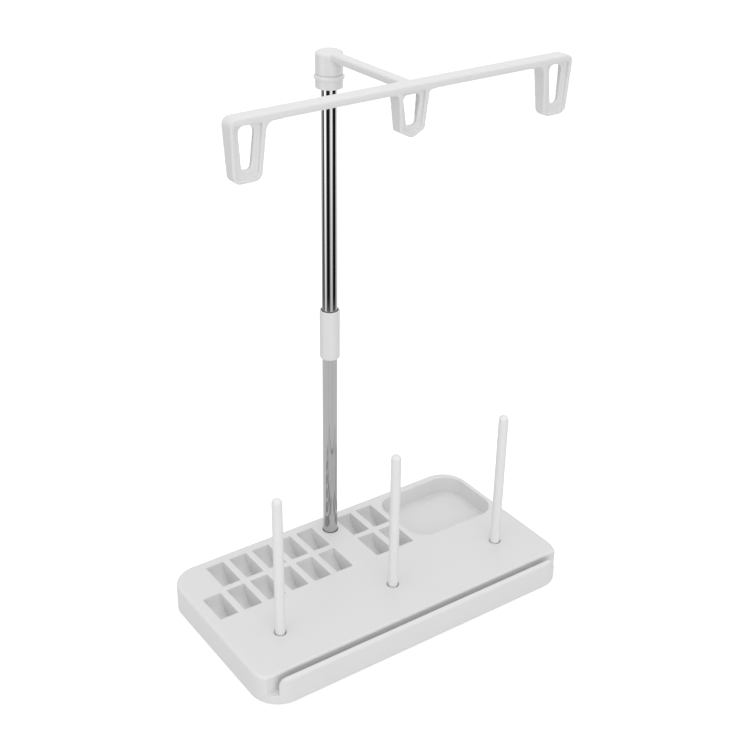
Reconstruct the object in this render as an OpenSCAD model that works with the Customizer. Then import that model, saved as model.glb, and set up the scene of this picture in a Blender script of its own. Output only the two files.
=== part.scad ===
// Thread spool stand for three spools. A moulded base with bobbin pockets, a notions tray and a
// groove carries three lift-out spool pins and a plug-in pole of two steel tubes. A guide with
// three thread loops turns on a collar at the top of the pole.
// The origin is the middle of the base on the surface that it stands on. +X is to the right,
// -Y to the front, where the groove is, and +Z is up.

/* [Base moulding] */
// Length of the base, left to right
base_l = 220; // [214:1:260]
// Width of the base, front to back
base_w = 120.4; // [112:0.2:140]
// Height of the moulding, from its lower rim to the deck
base_h = 17.5; // [16.5:0.5:24]
// Plan radius of the four corners
corner_r = 18; // [14:0.5:20]
// Round of the deck's outer edge
edge_r = 2.2; // [1:0.2:2.4]
// Thickness of the deck
deck_t = 2.4; // [1.6:0.2:3]
// Thickness of the outer wall
wall_t = 2.6; // [2:0.2:3]
// Thickness of the ribs under the deck
rib_t = 1.6; // [1.2:0.2:2.4]
// Step from the outer wall's lower rim up to the ribs
rib_lift = 3; // [1:0.5:5]

/* [Bobbin pockets] */
// Width of a pocket, across the bobbin
slot_w = 11.9; // [10:0.1:12.3]
// Length of a pocket, along the bobbin's diameter
slot_l = 21.8; // [20.8:0.1:22.4]
// Land between neighbouring pockets
slot_land = 4.5; // [3.8:0.1:4.9]
// Land between the back row and the front row
row_land = 4.2; // [3.8:0.1:5]
// Pockets in each row of the left block
left_slots = 6; // [2:1:6]
// Pockets in each row of the right block
right_slots = 2; // [1:1:2]
// From the pole's axis to the left block
left_land = 9.7; // [7.5:0.1:11]
// From the pole's axis to the right block
right_land = 8.7; // [7.5:0.1:10]
// From the base's back edge to the back row
slot_back_margin = 7.1; // [6:0.1:8]
// Straight part of a pocket's wall above its half-round bottom
slot_straight = 1; // [0.4:0.1:2]
// Thickness of the plastic under and beside the pockets
slot_wall = 1.8; // [1.4:0.1:2]

/* [Tray] */
// From the right block of pockets to the tray
tray_land = 4; // [3.8:0.1:8]
// Width of the tray's mouth
tray_w = 50.2; // [40:0.2:54]
// Depth of the tray
tray_depth = 12.9; // [8:0.1:13.2]
// Plan radius of the tray's corners
tray_r = 13; // [8:0.5:18]
// Round between the tray's wall and its floor
tray_floor_r = 3.5; // [1:0.5:5]
// Thickness of the tray's floor and walls
tray_wall = 2.2; // [1.6:0.2:2.6]
// From the base's right end to the tray
tray_side_margin = 3.8; // [3.4:0.1:8]
// From the base's back edge to the tray
tray_back_margin = 6; // [4:0.2:8]
// Round of the tray's upper edge
tray_lip_r = 0.6; // [0.3:0.1:1]

/* [Groove] */
// Width of the groove
groove_w = 4.4; // [4.2:0.1:6]
// Depth of the groove
groove_depth = 11.5; // [8:0.5:13]
// Thickness of the lip in front of the groove
lip_t = 2.4; // [2.2:0.1:3.2]
// Round of the deck's corners where the groove runs out
groove_body_r = 4; // [2:0.5:5]
// From the base's ends to the lip's ends
lip_end_inset = 9; // [8.8:0.1:16]
// Round at the top of the lip's ends
lip_end_r = 3; // [0.5:0.1:4]

/* [Feet] */
// Diameter of a rubber foot
foot_d = 13; // [9:0.5:14]
// Thickness of a rubber foot
foot_h = 2.8; // [2.2:0.1:3]
// How far the feet stand out below the base
foot_proud = 0.8; // [0.5:0.1:1.2]
// From the base's sides to the feet's centres
foot_inset = 20; // [15:0.5:24]
// Round of the feet's lower edge
foot_edge_r = 0.4; // [0.2:0.1:0.5]
// Gap between a foot and its cup, all round
foot_gap = 0.15; // [0.1:0.05:0.3]
// Thickness of the cup round a foot
foot_cup_t = 1.8; // [1.2:0.2:2.4]

/* [Spool pins] */
// Diameter of a spool pin
pin_d = 6; // [5.8:0.1:6.8]
// How far a pin stands out above the deck
pin_h = 92.7; // [60:0.1:130]
// Diameter of a pin's tenon, which stands in the socket
tenon_d = 5.6; // [3.6:0.1:5.8]
// Length of the tenon
pin_depth = 12; // [8:0.5:12.5]
// From the base's left end to the left pin
pin_left_inset = 30.9; // [24:0.1:34]
// From the base's right end to the right pin
pin_right_inset = 28.5; // [24:0.1:34]
// From the base's front edge to the row of pins
pin_front = 36.7; // [30:0.1:42]
// Bevel at the tenon's foot
pin_bevel = 0.6; // [0.3:0.1:1]
// Diameter of a socket's wide mouth
pin_mouth_d = 7.4; // [7:0.1:8.4]
// Depth of a socket's wide mouth
pin_mouth_h = 1.8; // [1:0.1:3]
// Thickness of the boss round a pin's socket
pin_boss_t = 2.2; // [1.6:0.1:2.6]

/* [Pole] */
// Outer diameter of both tubes
tube_d = 9.1; // [8:0.1:9.4]
// Wall of both tubes
tube_t = 0.8; // [0.5:0.1:1.2]
// Length of the lower tube
lower_tube_l = 153.5; // [120:0.5:200]
// Length of the upper tube
upper_tube_l = 159.5; // [120:0.5:200]
// From the base's back edge to the pole's axis
pole_back = 14.6; // [13:0.1:20]
// Depth of the pole's socket in the base
pole_depth = 13; // [9:0.5:13]
// Diameter of that socket's wide mouth
pole_mouth_d = 10; // [9.8:0.1:11]
// Depth of that socket's wide mouth
pole_mouth_h = 1.6; // [1:0.1:3]
// Thickness of the boss round the pole's socket
pole_boss_t = 2.6; // [1.8:0.1:3]

/* [Coupler] */
// Outer diameter of the coupler
coupler_d = 12; // [11.6:0.1:15]
// Length of the coupler
coupler_l = 31.8; // [24:0.2:44]
// Thickness of the web between its two sockets
coupler_web = 2; // [1:0.2:4]
// Round of its lower end
coupler_foot_r = 1.3; // [0.5:0.1:1.4]
// Diameter of its wide upper mouth
coupler_mouth_d = 10.4; // [9.8:0.1:11]
// Depth of its wide upper mouth
coupler_mouth_h = 2.2; // [1:0.1:4]

/* [Collar] */
// Depth of the tube's socket in the collar
collar_depth = 12; // [9:0.5:16]
// Outer diameter of the collar's skirt and of the guide's hub
hub_d = 15.2; // [15:0.1:18]
// Height of the skirt below the bead
skirt_h = 4.5; // [3:0.1:6]
// Height of the bead
bead_h = 2.6; // [2:0.1:3]
// How far the bead stands out from the skirt
bead_out = 0.8; // [0.4:0.1:1.2]
// Diameter of the spigot that the guide turns on
spigot_d = 11.8; // [11.4:0.1:12]
// Height of the spigot above the bead
spigot_h = 8; // [6.8:0.1:9]
// How far the snap ridge stands out from the spigot
snap_out = 0.3; // [0.2:0.05:0.4]
// Height of the snap ridge
snap_h = 1.2; // [0.8:0.1:1.6]
// From the bead up to the snap ridge
snap_z = 4.6; // [3:0.1:5]

/* [Thread guide] */
// Height of the guide's hub
hub_h = 12.5; // [12.2:0.1:16]
// Round of the hub's top edge
hub_top_r = 2; // [0.5:0.1:3]
// From the pole's axis to the middle of the crossbar
arm_l = 72; // [50:0.5:90]
// Width of the arm
arm_w = 6.8; // [5:0.1:9]
// Height of the arm and of the crossbar
arm_h = 4.3; // [3.4:0.1:4.4]
// Depth of the crossbar, front to back
bar_d = 8.8; // [7:0.1:11]
// Round of the arm's and the crossbar's long edges
arm_edge_r = 1.3; // [0.6:0.1:1.6]
// Step from the hub's top down to the arm's top
arm_drop = 0.2; // [0:0.1:1]
// Round where the arm meets the crossbar
arm_root_r = 3; // [1:0.5:8]
// From the pole's axis to the outer side of an end loop
loop_reach = 103.7; // [90:0.1:120]
// Width of an end loop at the crossbar
end_loop_w = 19.6; // [17:0.1:20]
// Width of an end loop at its bottom
end_loop_bottom_w = 15.4; // [14.6:0.1:16]
// Height of an end loop, from the crossbar's top
end_loop_h = 32.1; // [28:0.1:40]
// Width of the middle loop at the crossbar
mid_loop_w = 18.6; // [17:0.1:20]
// Width of the middle loop above its tip
mid_loop_bottom_w = 15; // [14:0.1:15.6]
// Height of the middle loop, from the crossbar's top
mid_loop_h = 27.8; // [26.6:0.1:34]
// Drop from the middle loop's lower corners to its tip
mid_loop_tip = 4; // [2:0.1:4.4]
// Depth of the loops at their lower ends
loop_foot_d = 6.4; // [5:0.1:7]
// Thickness of the web that holds a thread hole
web_t = 2.2; // [1.6:0.1:2.6]
// How far a web stands in front of the crossbar's middle
web_set = 0.9; // [0:0.1:1]
// Width of the raised rim round a web
rim_w = 2.1; // [1.6:0.1:2.3]
// Plastic between an end loop's side and its hole, at the top
end_side_band = 5.2; // [4.2:0.1:5.6]
// Plastic between the middle loop's side and its hole, at the top
mid_side_band = 3.8; // [3.4:0.1:4.2]
// Plastic below an end loop's hole
end_bottom_band = 6; // [5:0.1:7]
// Plastic below the middle loop's hole
mid_bottom_band = 6.3; // [5.8:0.1:7]
// From the crossbar's top down to an end loop's hole
end_hole_drop = 4.6; // [4.4:0.1:6]
// From the crossbar's top down to the middle hole
mid_hole_drop = 5.8; // [4.4:0.1:6.4]
// Width of an end loop's hole at its bottom
end_hole_bottom_w = 5; // [4.8:0.1:6]
// Width of the middle hole at its bottom
mid_hole_bottom_w = 5.8; // [5.4:0.1:7]
// Round of the end loops' outer corners
loop_corner_r = 4.4; // [3:0.1:4.6]
// Round of the end holes' upper corners
hole_top_r = 3.6; // [1:0.1:3.8]
// Round of the holes' other corners
hole_bottom_r = 2.4; // [1:0.1:2.4]

/* [Fits] */
// Radial clearance where a piece turns or lifts out
running_fit = 0.05; // [0.02:0.01:0.09]
// Radial clearance where a piece is pressed on
tight_fit = 0.01; // [0:0.01:0.02]
// Play between pieces that move against each other end to end
end_play = 0.2; // [0.15:0.05:0.4]

/* [Hidden] */

$fn = 48;
// Points on each round corner of an outline
corner_steps = 6;
// How far a cut runs past the face that it opens
overrun = 1;
// Share of an end loop's narrowing that its outer side takes
outer_lean_share = 1 / 3;

// Heights, from the surface that the stand rests on
deck_z = foot_proud + base_h;
lower_tube_z = deck_z - pole_depth;
coupler_socket = (coupler_l - coupler_web) / 2;
coupler_z = lower_tube_z + lower_tube_l - coupler_socket;
upper_tube_z = coupler_z + coupler_socket + coupler_web;
collar_z = upper_tube_z + upper_tube_l - collar_depth;
bead_z = collar_z + skirt_h;
hub_z = bead_z + bead_h + end_play;
arm_top_z = hub_z + hub_h - arm_drop;
pin_z = deck_z - pin_depth;

// Places in plan
pole_y = base_w / 2 - pole_back;
pin_y = pin_front - base_w / 2;
// Distance from pin to pin, and how far the middle pin stands right of the base's middle. The
// pole stands behind the middle pin
pin_pitch = (base_l - pin_left_inset - pin_right_inset) / 2;
pin_shift = (pin_left_inset - pin_right_inset) / 2;
pole_x = pin_shift;
foot_x = base_l / 2 - foot_inset;
foot_y = base_w / 2 - foot_inset;

// Pockets: the two blocks and their rows
slot_pitch = slot_w + slot_land;
row_pitch = slot_l + row_land;
back_row_y = base_w / 2 - slot_back_margin - slot_l / 2;
left_block_l = left_slots * slot_pitch - slot_land;
left_block_x = pole_x - left_land - left_block_l;
right_block_l = right_slots * slot_pitch - slot_land;
right_block_x = pole_x + right_land;
trough_z = base_h - slot_straight;
trough_r = slot_l / 2;

// Tray, between the right block and the base's right end
tray_left = right_block_x + right_block_l + tray_land;
tray_l = base_l / 2 - tray_side_margin - tray_left;
tray_x = tray_left + tray_l / 2;
tray_y = base_w / 2 - tray_back_margin - tray_w / 2;

// Groove: its two walls, the round corners of the deck beside it and the lip's ends
groove_front_y = lip_t - base_w / 2;
groove_back_y = groove_front_y + groove_w;
groove_z = base_h - groove_depth;
corner_x = base_l / 2 - corner_r;
corner_y = base_w / 2 - corner_r;
body_round_y = groove_back_y + groove_body_r;
body_round_x = corner_x + sqrt(pow(corner_r - groove_body_r, 2) - pow(body_round_y + corner_y, 2));
lip_end_x = base_l / 2 - lip_end_inset;

// Unit vector from a to b
function toward(a, b) = (b - a) / norm(b - a);

// Points of the arc that rounds corner b, between a and c, by radius r
function corner_arc(a, b, c, r) =
    let (u = toward(b, a),
         v = toward(b, c),
         half = acos(u * v) / 2,
         axis = toward([0, 0], u + v),
         centre = b + axis * r / sin(half),
         first = b + u * r / tan(half) - centre,
         turn = (u[0] * v[1] - u[1] * v[0] > 0 ? -1 : 1) * (180 - 2 * half))
    [for (i = [0 : corner_steps])
        let (t = turn * i / corner_steps)
        centre + [first[0] * cos(t) - first[1] * sin(t), first[0] * sin(t) + first[1] * cos(t)]];

// An outline whose corners, given as [x, y, radius], are rounded
function rounded_outline(corners) =
    let (n = len(corners))
    [for (i = [0 : n - 1])
        let (a = corners[(i + n - 1) % n], b = corners[i], c = corners[(i + 1) % n])
        each b[2] > 0 ? corner_arc([a[0], a[1]], [b[0], b[1]], [c[0], c[1]], b[2]) : [[b[0], b[1]]]];

// Plan of a rectangle with round corners
module rounded_plan(l, w, r) {
    square([l - 2 * r, w], center = true);
    square([l, w - 2 * r], center = true);
    for (x = [-1, 1], y = [-1, 1])
        translate([x * (l / 2 - r), y * (w / 2 - r)])
            circle(r);
}

// Sweeps a half section round the edge of a rounded rectangle. $reach is the half section's reach
module swept_block(l, w, r) {
    for (x = [-1, 1], y = [-1, 1])
        translate([x * (l / 2 - r), y * (w / 2 - r), 0])
            rotate_extrude() {
                $reach = r;
                children();
            }
    for (side = [0, 1])
        rotate([90, 0, 90 * side])
            linear_extrude((side == 0 ? w : l) - 2 * r, center = true)
                for (m = [0, 1])
                    mirror([m, 0])
                        union() {
                            $reach = (side == 0 ? l : w) / 2;
                            children();
                        }
}

// Half section of the base's outside, with a round upper edge
module base_section() {
    square([$reach, base_h - edge_r]);
    square([$reach - edge_r, base_h]);
    translate([$reach - edge_r, base_h - edge_r])
        circle(edge_r);
}

// Half section of the tray's inside, with a round floor edge and a flared lip
module tray_section() {
    square([$reach - tray_floor_r, tray_depth]);
    translate([0, tray_floor_r])
        square([$reach, tray_depth - tray_floor_r]);
    translate([$reach - tray_floor_r, tray_floor_r])
        circle(tray_floor_r);
    difference() {
        translate([0, tray_depth - tray_lip_r])
            square([$reach + tray_lip_r, tray_lip_r + overrun]);
        translate([$reach + tray_lip_r, tray_depth - tray_lip_r])
            circle(tray_lip_r);
    }
}

// Puts a child at the middle of every pocket. The corner pocket of the back row is left out
module at_slots() {
    for (row = [0, 1], col = [0 : left_slots - 1])
        if (row + col > 0)
            translate([left_block_x + slot_w / 2 + col * slot_pitch, back_row_y - row * row_pitch, 0])
                children();
    for (row = [0, 1], col = [0 : right_slots - 1])
        translate([right_block_x + slot_w / 2 + col * slot_pitch, back_row_y - row * row_pitch, 0])
            children();
}

// Inside of one pocket: straight walls over a half-round bottom
module slot_space() {
    translate([-slot_w / 2, -slot_l / 2, trough_z])
        cube([slot_w, slot_l, slot_straight + overrun]);
    translate([-slot_w / 2, 0, trough_z])
        rotate([0, 90, 0])
            cylinder(r = trough_r, h = slot_w);
}

// Plastic round one row of pockets, from x over length l
module slot_row(x, l) {
    outer_r = trough_r + slot_wall;
    translate([x - slot_wall, 0, trough_z])
        rotate([0, 90, 0])
            cylinder(r = outer_r, h = l + 2 * slot_wall);
    translate([x - slot_wall, -trough_r, trough_z])
        cube([l + 2 * slot_wall, slot_l, slot_straight]);
}

// The pockets' plastic in both blocks, below the deck's top
module slot_blocks() {
    intersection() {
        for (row = [0, 1])
            translate([0, back_row_y - row * row_pitch, 0]) {
                slot_row(left_block_x + (1 - row) * slot_pitch, left_block_l - (1 - row) * slot_pitch);
                slot_row(right_block_x, right_block_l);
            }
        linear_extrude(base_h - edge_r)
            rounded_plan(base_l - wall_t, base_w - wall_t, corner_r - wall_t / 2);
    }
}

// A socket for a round piece, open at the deck, with a wide mouth
module socket_space(d, depth, mouth_d, mouth_h) {
    translate([0, 0, base_h - depth])
        cylinder(r = d / 2 + running_fit, h = depth + overrun);
    translate([0, 0, base_h - mouth_h])
        cylinder(r1 = d / 2 + running_fit, r2 = mouth_d / 2, h = mouth_h);
    translate([0, 0, base_h])
        cylinder(r = mouth_d / 2, h = overrun);
}

// The boss under the deck round such a socket
module socket_boss(d, depth, t) {
    translate([0, 0, base_h - depth - t])
        cylinder(r = d / 2 + t, h = depth + t - deck_t / 2);
}

module at_pins() {
    for (i = [-1, 0, 1])
        translate([pin_shift + i * pin_pitch, pin_y, 0])
            children();
}

module at_feet() {
    for (x = [-1, 1], y = [-1, 1])
        translate([x * foot_x, y * foot_y, 0])
            children();
}

// Ribs under the deck: one along the row of pins, and one across at each pin
module ribs() {
    inner_l = base_l - wall_t;
    rib_h = base_h - deck_t / 2 - rib_lift;
    rib_back_y = back_row_y - row_pitch - trough_r;
    translate([-inner_l / 2, pin_y - rib_t / 2, rib_lift])
        cube([inner_l, rib_t, rib_h]);
    for (i = [-1, 0, 1])
        translate([pin_shift + i * pin_pitch - rib_t / 2, groove_back_y, rib_lift])
            cube([rib_t, rib_back_y - groove_back_y, rib_h]);
}

// The deck and the outer wall, hollow below
module base_shell() {
    difference() {
        swept_block(base_l, base_w, corner_r) base_section();
        translate([0, 0, -overrun])
            linear_extrude(base_h - deck_t + overrun)
                rounded_plan(base_l - 2 * wall_t, base_w - 2 * wall_t, corner_r - wall_t);
    }
}

// The plastic round the groove
module groove_trough() {
    trough_bottom = groove_z - slot_wall;
    intersection() {
        translate([-base_l / 2, -base_w / 2, trough_bottom])
            cube([base_l, groove_back_y + slot_wall + base_w / 2, base_h - edge_r - trough_bottom]);
        linear_extrude(base_h)
            rounded_plan(base_l - wall_t, base_w - wall_t, corner_r - wall_t / 2);
    }
}

// Plan of the groove. Its front wall follows the lip round the corners, and it is open past the
// lip's ends
module groove_plan() {
    difference() {
        translate([-base_l / 2 - overrun, -base_w / 2 - overrun])
            square([base_l + 2 * overrun, groove_back_y + base_w / 2 + overrun]);
        difference() {
            square([2 * lip_end_x, base_w + 4 * overrun], center = true);
            rounded_plan(base_l - 2 * lip_t, base_w - 2 * lip_t, corner_r - lip_t);
        }
    }
    body_out = [body_round_x - corner_x, body_round_y + corner_y]
        * groove_body_r * 2 / (corner_r - groove_body_r);
    for (m = [0, 1])
        mirror([m, 0])
            translate([body_round_x, body_round_y])
                difference() {
                    polygon([[0, 0], [0, -2 * groove_body_r],
                             [2 * groove_body_r, -2 * groove_body_r], body_out]);
                    circle(groove_body_r);
                }
}

// The groove, and the rounds at the top of the lip's ends
module groove_space() {
    translate([0, 0, groove_z])
        linear_extrude(groove_depth + overrun)
            groove_plan();
    for (m = [0, 1])
        mirror([m, 0, 0])
            translate([lip_end_x - lip_end_r, groove_back_y, base_h - lip_end_r])
                rotate([90, 0, 0])
                    linear_extrude(groove_back_y + base_w / 2 + overrun)
                        difference() {
                            square(lip_end_r + overrun);
                            circle(lip_end_r);
                        }
}

module base() {
    color("whitesmoke")
        translate([0, 0, foot_proud])
            difference() {
                union() {
                    base_shell();
                    slot_blocks();
                    groove_trough();
                    translate([tray_x, tray_y, base_h - tray_depth - tray_wall])
                        linear_extrude(tray_depth + tray_wall - deck_t / 2)
                            rounded_plan(tray_l + 2 * tray_wall, tray_w + 2 * tray_wall, tray_r + tray_wall);
                    at_pins() socket_boss(tenon_d, pin_depth, pin_boss_t);
                    translate([pole_x, pole_y, 0])
                        socket_boss(tube_d, pole_depth, pole_boss_t);
                    at_feet() cylinder(r = foot_d / 2 + foot_gap + foot_cup_t, h = base_h - deck_t / 2);
                    ribs();
                }
                at_slots() slot_space();
                translate([tray_x, tray_y, base_h - tray_depth])
                    swept_block(tray_l, tray_w, tray_r) tray_section();
                groove_space();
                at_pins() socket_space(tenon_d, pin_depth, pin_mouth_d, pin_mouth_h);
                translate([pole_x, pole_y, 0])
                    socket_space(tube_d, pole_depth, pole_mouth_d, pole_mouth_h);
                at_feet()
                    translate([0, 0, -overrun])
                        cylinder(r = foot_d / 2 + foot_gap, h = foot_h - foot_proud + overrun);
            }
}

// A rubber foot in its cup, on the left or right (x) and at the front or back (y)
module foot(x, y) {
    color("dimgray")
        translate([x * foot_x, y * foot_y, 0])
            rotate_extrude() {
                translate([0, foot_edge_r])
                    square([foot_d / 2, foot_h - foot_edge_r]);
                square([foot_d / 2 - foot_edge_r, foot_h]);
                translate([foot_d / 2 - foot_edge_r, foot_edge_r])
                    circle(foot_edge_r);
            }
}

// A steel tube of length l, from z up
module tube(z, l) {
    color("silver")
        translate([pole_x, pole_y, z])
            difference() {
                cylinder(r = tube_d / 2, h = l);
                translate([0, 0, -overrun])
                    cylinder(r = tube_d / 2 - tube_t, h = l + 2 * overrun);
            }
}

module lower_tube() {
    tube(lower_tube_z, lower_tube_l);
}

module upper_tube() {
    tube(upper_tube_z, upper_tube_l);
}

// Joins the two tubes: tight on the lower one, and open above for the upper one
module coupler() {
    color("whitesmoke")
        translate([pole_x, pole_y, coupler_z])
            difference() {
                rotate_extrude() {
                    translate([0, coupler_foot_r])
                        square([coupler_d / 2, coupler_l - coupler_foot_r]);
                    square([coupler_d / 2 - coupler_foot_r, coupler_l]);
                    translate([coupler_d / 2 - coupler_foot_r, coupler_foot_r])
                        circle(coupler_foot_r);
                }
                translate([0, 0, -overrun])
                    cylinder(r = tube_d / 2 + tight_fit, h = coupler_socket + overrun);
                translate([0, 0, coupler_socket + coupler_web])
                    cylinder(r = tube_d / 2 + running_fit, h = coupler_socket + overrun);
                translate([0, 0, coupler_l - coupler_mouth_h])
                    cylinder(r = coupler_mouth_d / 2, h = coupler_mouth_h + overrun);
            }
}

// Caps the upper tube: a skirt and a bead below, and the spigot that the guide turns on above
module head_collar() {
    color("whitesmoke")
        translate([pole_x, pole_y, collar_z])
            difference() {
                rotate_extrude() {
                    square([hub_d / 2, skirt_h + bead_h]);
                    translate([0, skirt_h])
                        square([hub_d / 2 + bead_out - bead_h / 2, bead_h]);
                    translate([hub_d / 2 + bead_out - bead_h / 2, skirt_h + bead_h / 2])
                        circle(bead_h / 2);
                    translate([0, skirt_h + bead_h])
                        square([spigot_d / 2, spigot_h]);
                    translate([0, skirt_h + bead_h + snap_z])
                        square([spigot_d / 2 + snap_out, snap_h]);
                }
                translate([0, 0, -overrun])
                    cylinder(r = tube_d / 2 + tight_fit, h = collar_depth + overrun);
            }
}

// Section of a bar w wide and h high, round at its long edges, with its top at 0
module bar_section(w, h) {
    translate([0, -h / 2])
        rounded_plan(w, h, arm_edge_r);
}

// Corners of the right-hand end loop, [x, z, radius]: its outline, its recess and its hole
end_inner_x = loop_reach - end_loop_w;
end_side_lean = (end_loop_w - end_loop_bottom_w) * outer_lean_share;
end_foot_out_x = loop_reach - end_side_lean;
end_foot_in_x = end_foot_out_x - end_loop_bottom_w;
end_outline = [[end_inner_x - 2 * loop_corner_r, 0, 0],
               [loop_reach, 0, loop_corner_r],
               [end_foot_out_x, -end_loop_h, loop_corner_r],
               [end_foot_in_x, -end_loop_h, loop_corner_r],
               [end_inner_x, -arm_h, loop_corner_r],
               [end_inner_x - 2 * loop_corner_r, -arm_h, 0]];
recess_r = loop_corner_r - rim_w;
end_recess = [[end_inner_x + rim_w, -rim_w, rim_w / 2],
              [loop_reach - rim_w, -rim_w, recess_r],
              [end_foot_out_x - rim_w, rim_w - end_loop_h, recess_r],
              [end_foot_in_x + rim_w, rim_w - end_loop_h, recess_r]];
end_hole_x = (end_foot_in_x + end_foot_out_x) / 2;
end_hole = [[end_inner_x + end_side_band, -end_hole_drop, hole_top_r],
            [loop_reach - end_side_band, -end_hole_drop, hole_top_r],
            [end_hole_x + end_hole_bottom_w / 2, end_bottom_band - end_loop_h, hole_bottom_r],
            [end_hole_x - end_hole_bottom_w / 2, end_bottom_band - end_loop_h, hole_bottom_r]];

// The same for the middle loop
mid_top_x = mid_loop_w / 2;
mid_foot_x = mid_loop_bottom_w / 2;
mid_corner_z = mid_loop_tip - mid_loop_h;
mid_hole_top_x = mid_top_x - mid_side_band;
mid_hole_foot_x = mid_hole_bottom_w / 2;
mid_outline = [[-mid_top_x - loop_corner_r, 0, 0],
               [mid_top_x + loop_corner_r, 0, 0],
               [mid_top_x + loop_corner_r, -arm_h, 0],
               [mid_top_x, -arm_h, rim_w],
               [mid_foot_x, mid_corner_z, rim_w],
               [0, -mid_loop_h, loop_corner_r],
               [-mid_foot_x, mid_corner_z, rim_w],
               [-mid_top_x, -arm_h, rim_w],
               [-mid_top_x - loop_corner_r, -arm_h, 0]];
mid_recess = [[-mid_top_x + rim_w, -rim_w, rim_w / 2],
              [mid_top_x - rim_w, -rim_w, rim_w / 2],
              [mid_foot_x - rim_w, mid_corner_z + rim_w / 2, rim_w],
              [0, rim_w - mid_loop_h, loop_corner_r],
              [rim_w - mid_foot_x, mid_corner_z + rim_w / 2, rim_w]];
mid_hole = [[-mid_hole_top_x, -mid_hole_drop, hole_bottom_r],
            [mid_hole_top_x, -mid_hole_drop, hole_bottom_r],
            [mid_hole_foot_x, mid_bottom_band - mid_loop_h, hole_bottom_r],
            [-mid_hole_foot_x, mid_bottom_band - mid_loop_h, hole_bottom_r]];

// Extrudes an outline in x and z through depth d, about y = 0
module upright(outline, d) {
    rotate([90, 0, 0])
        linear_extrude(d, center = true)
            polygon(rounded_outline(outline));
}

// One thread loop: a rim, a web set back from both faces, and the thread hole
module thread_loop(outline, recess, hole, drop) {
    difference() {
        intersection() {
            upright(outline, bar_d);
            // The loop grows thinner towards its foot, and its top edges are round
            translate([-loop_reach - overrun, 0, 0])
                rotate([90, 0, 90])
                    linear_extrude(2 * (loop_reach + overrun)) {
                        bar_section(bar_d, arm_h);
                        polygon([[-bar_d / 2, -arm_h / 2], [bar_d / 2, -arm_h / 2],
                                 [loop_foot_d / 2, -drop], [-loop_foot_d / 2, -drop]]);
                    }
        }
        for (side = [-1, 1])
            translate([0, side * (web_t / 2 + bar_d / 2) - web_set, 0])
                upright(recess, bar_d);
        upright(hole, bar_d);
    }
}

// The round in the corner between the arm and the crossbar, on its right-hand side
module arm_root() {
    translate([arm_w / 2 - arm_edge_r, bar_d / 2 - arm_edge_r, -arm_h + arm_edge_r])
        linear_extrude(arm_h - 2 * arm_edge_r)
            difference() {
                square(arm_root_r + arm_edge_r);
                translate([arm_root_r + arm_edge_r, arm_root_r + arm_edge_r])
                    circle(arm_root_r);
            }
}

// The arm, the crossbar and its three loops, about the crossbar's middle
module guide_frame() {
    bar_l = 2 * (loop_reach - loop_corner_r);
    translate([-bar_l / 2, 0, 0])
        rotate([90, 0, 90])
            linear_extrude(bar_l)
                bar_section(bar_d, arm_h);
    rotate([90, 0, 180])
        linear_extrude(arm_l)
            bar_section(arm_w, arm_h);
    for (m = [0, 1])
        mirror([m, 0, 0])
            arm_root();
    for (m = [0, 1])
        mirror([m, 0, 0])
            thread_loop(end_outline, end_recess, end_hole, end_loop_h);
    thread_loop(mid_outline, mid_recess, mid_hole, mid_loop_h);
}

module guide_head() {
    color("whitesmoke")
        translate([pole_x, pole_y, hub_z])
            difference() {
                union() {
                    rotate_extrude() {
                        square([hub_d / 2, hub_h - hub_top_r]);
                        square([hub_d / 2 - hub_top_r, hub_h]);
                        translate([hub_d / 2 - hub_top_r, hub_h - hub_top_r])
                            circle(hub_top_r);
                    }
                    translate([0, -arm_l, hub_h - arm_drop])
                        guide_frame();
                }
                translate([0, 0, -overrun])
                    cylinder(r = spigot_d / 2 + running_fit, h = spigot_h + overrun);
                translate([0, 0, snap_z - 2 * end_play])
                    cylinder(r = spigot_d / 2 + snap_out + running_fit, h = snap_h + 2 * end_play);
            }
}

// A spool pin, number i from the middle: a rod with a round top, on a tenon with a bevelled foot
module spool_pin(i) {
    color("whitesmoke")
        translate([pin_shift + i * pin_pitch, pin_y, pin_z]) {
            cylinder(r1 = tenon_d / 2 - pin_bevel, r2 = tenon_d / 2, h = pin_bevel);
            translate([0, 0, pin_bevel])
                cylinder(r = tenon_d / 2, h = pin_depth - pin_bevel);
            translate([0, 0, pin_depth])
                cylinder(r = pin_d / 2, h = pin_h - pin_d / 2);
            translate([0, 0, pin_depth + pin_h - pin_d / 2])
                sphere(pin_d / 2);
        }
}

base();
foot(-1, -1);  // foot_front_left
foot(1, -1);  // foot_front_right
foot(-1, 1);  // foot_back_left
foot(1, 1);  // foot_back_right
lower_tube();
coupler();
upper_tube();
head_collar();
guide_head();
spool_pin(-1);  // spool_pin_left
spool_pin(0);  // spool_pin_middle
spool_pin(1);  // spool_pin_right
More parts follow.
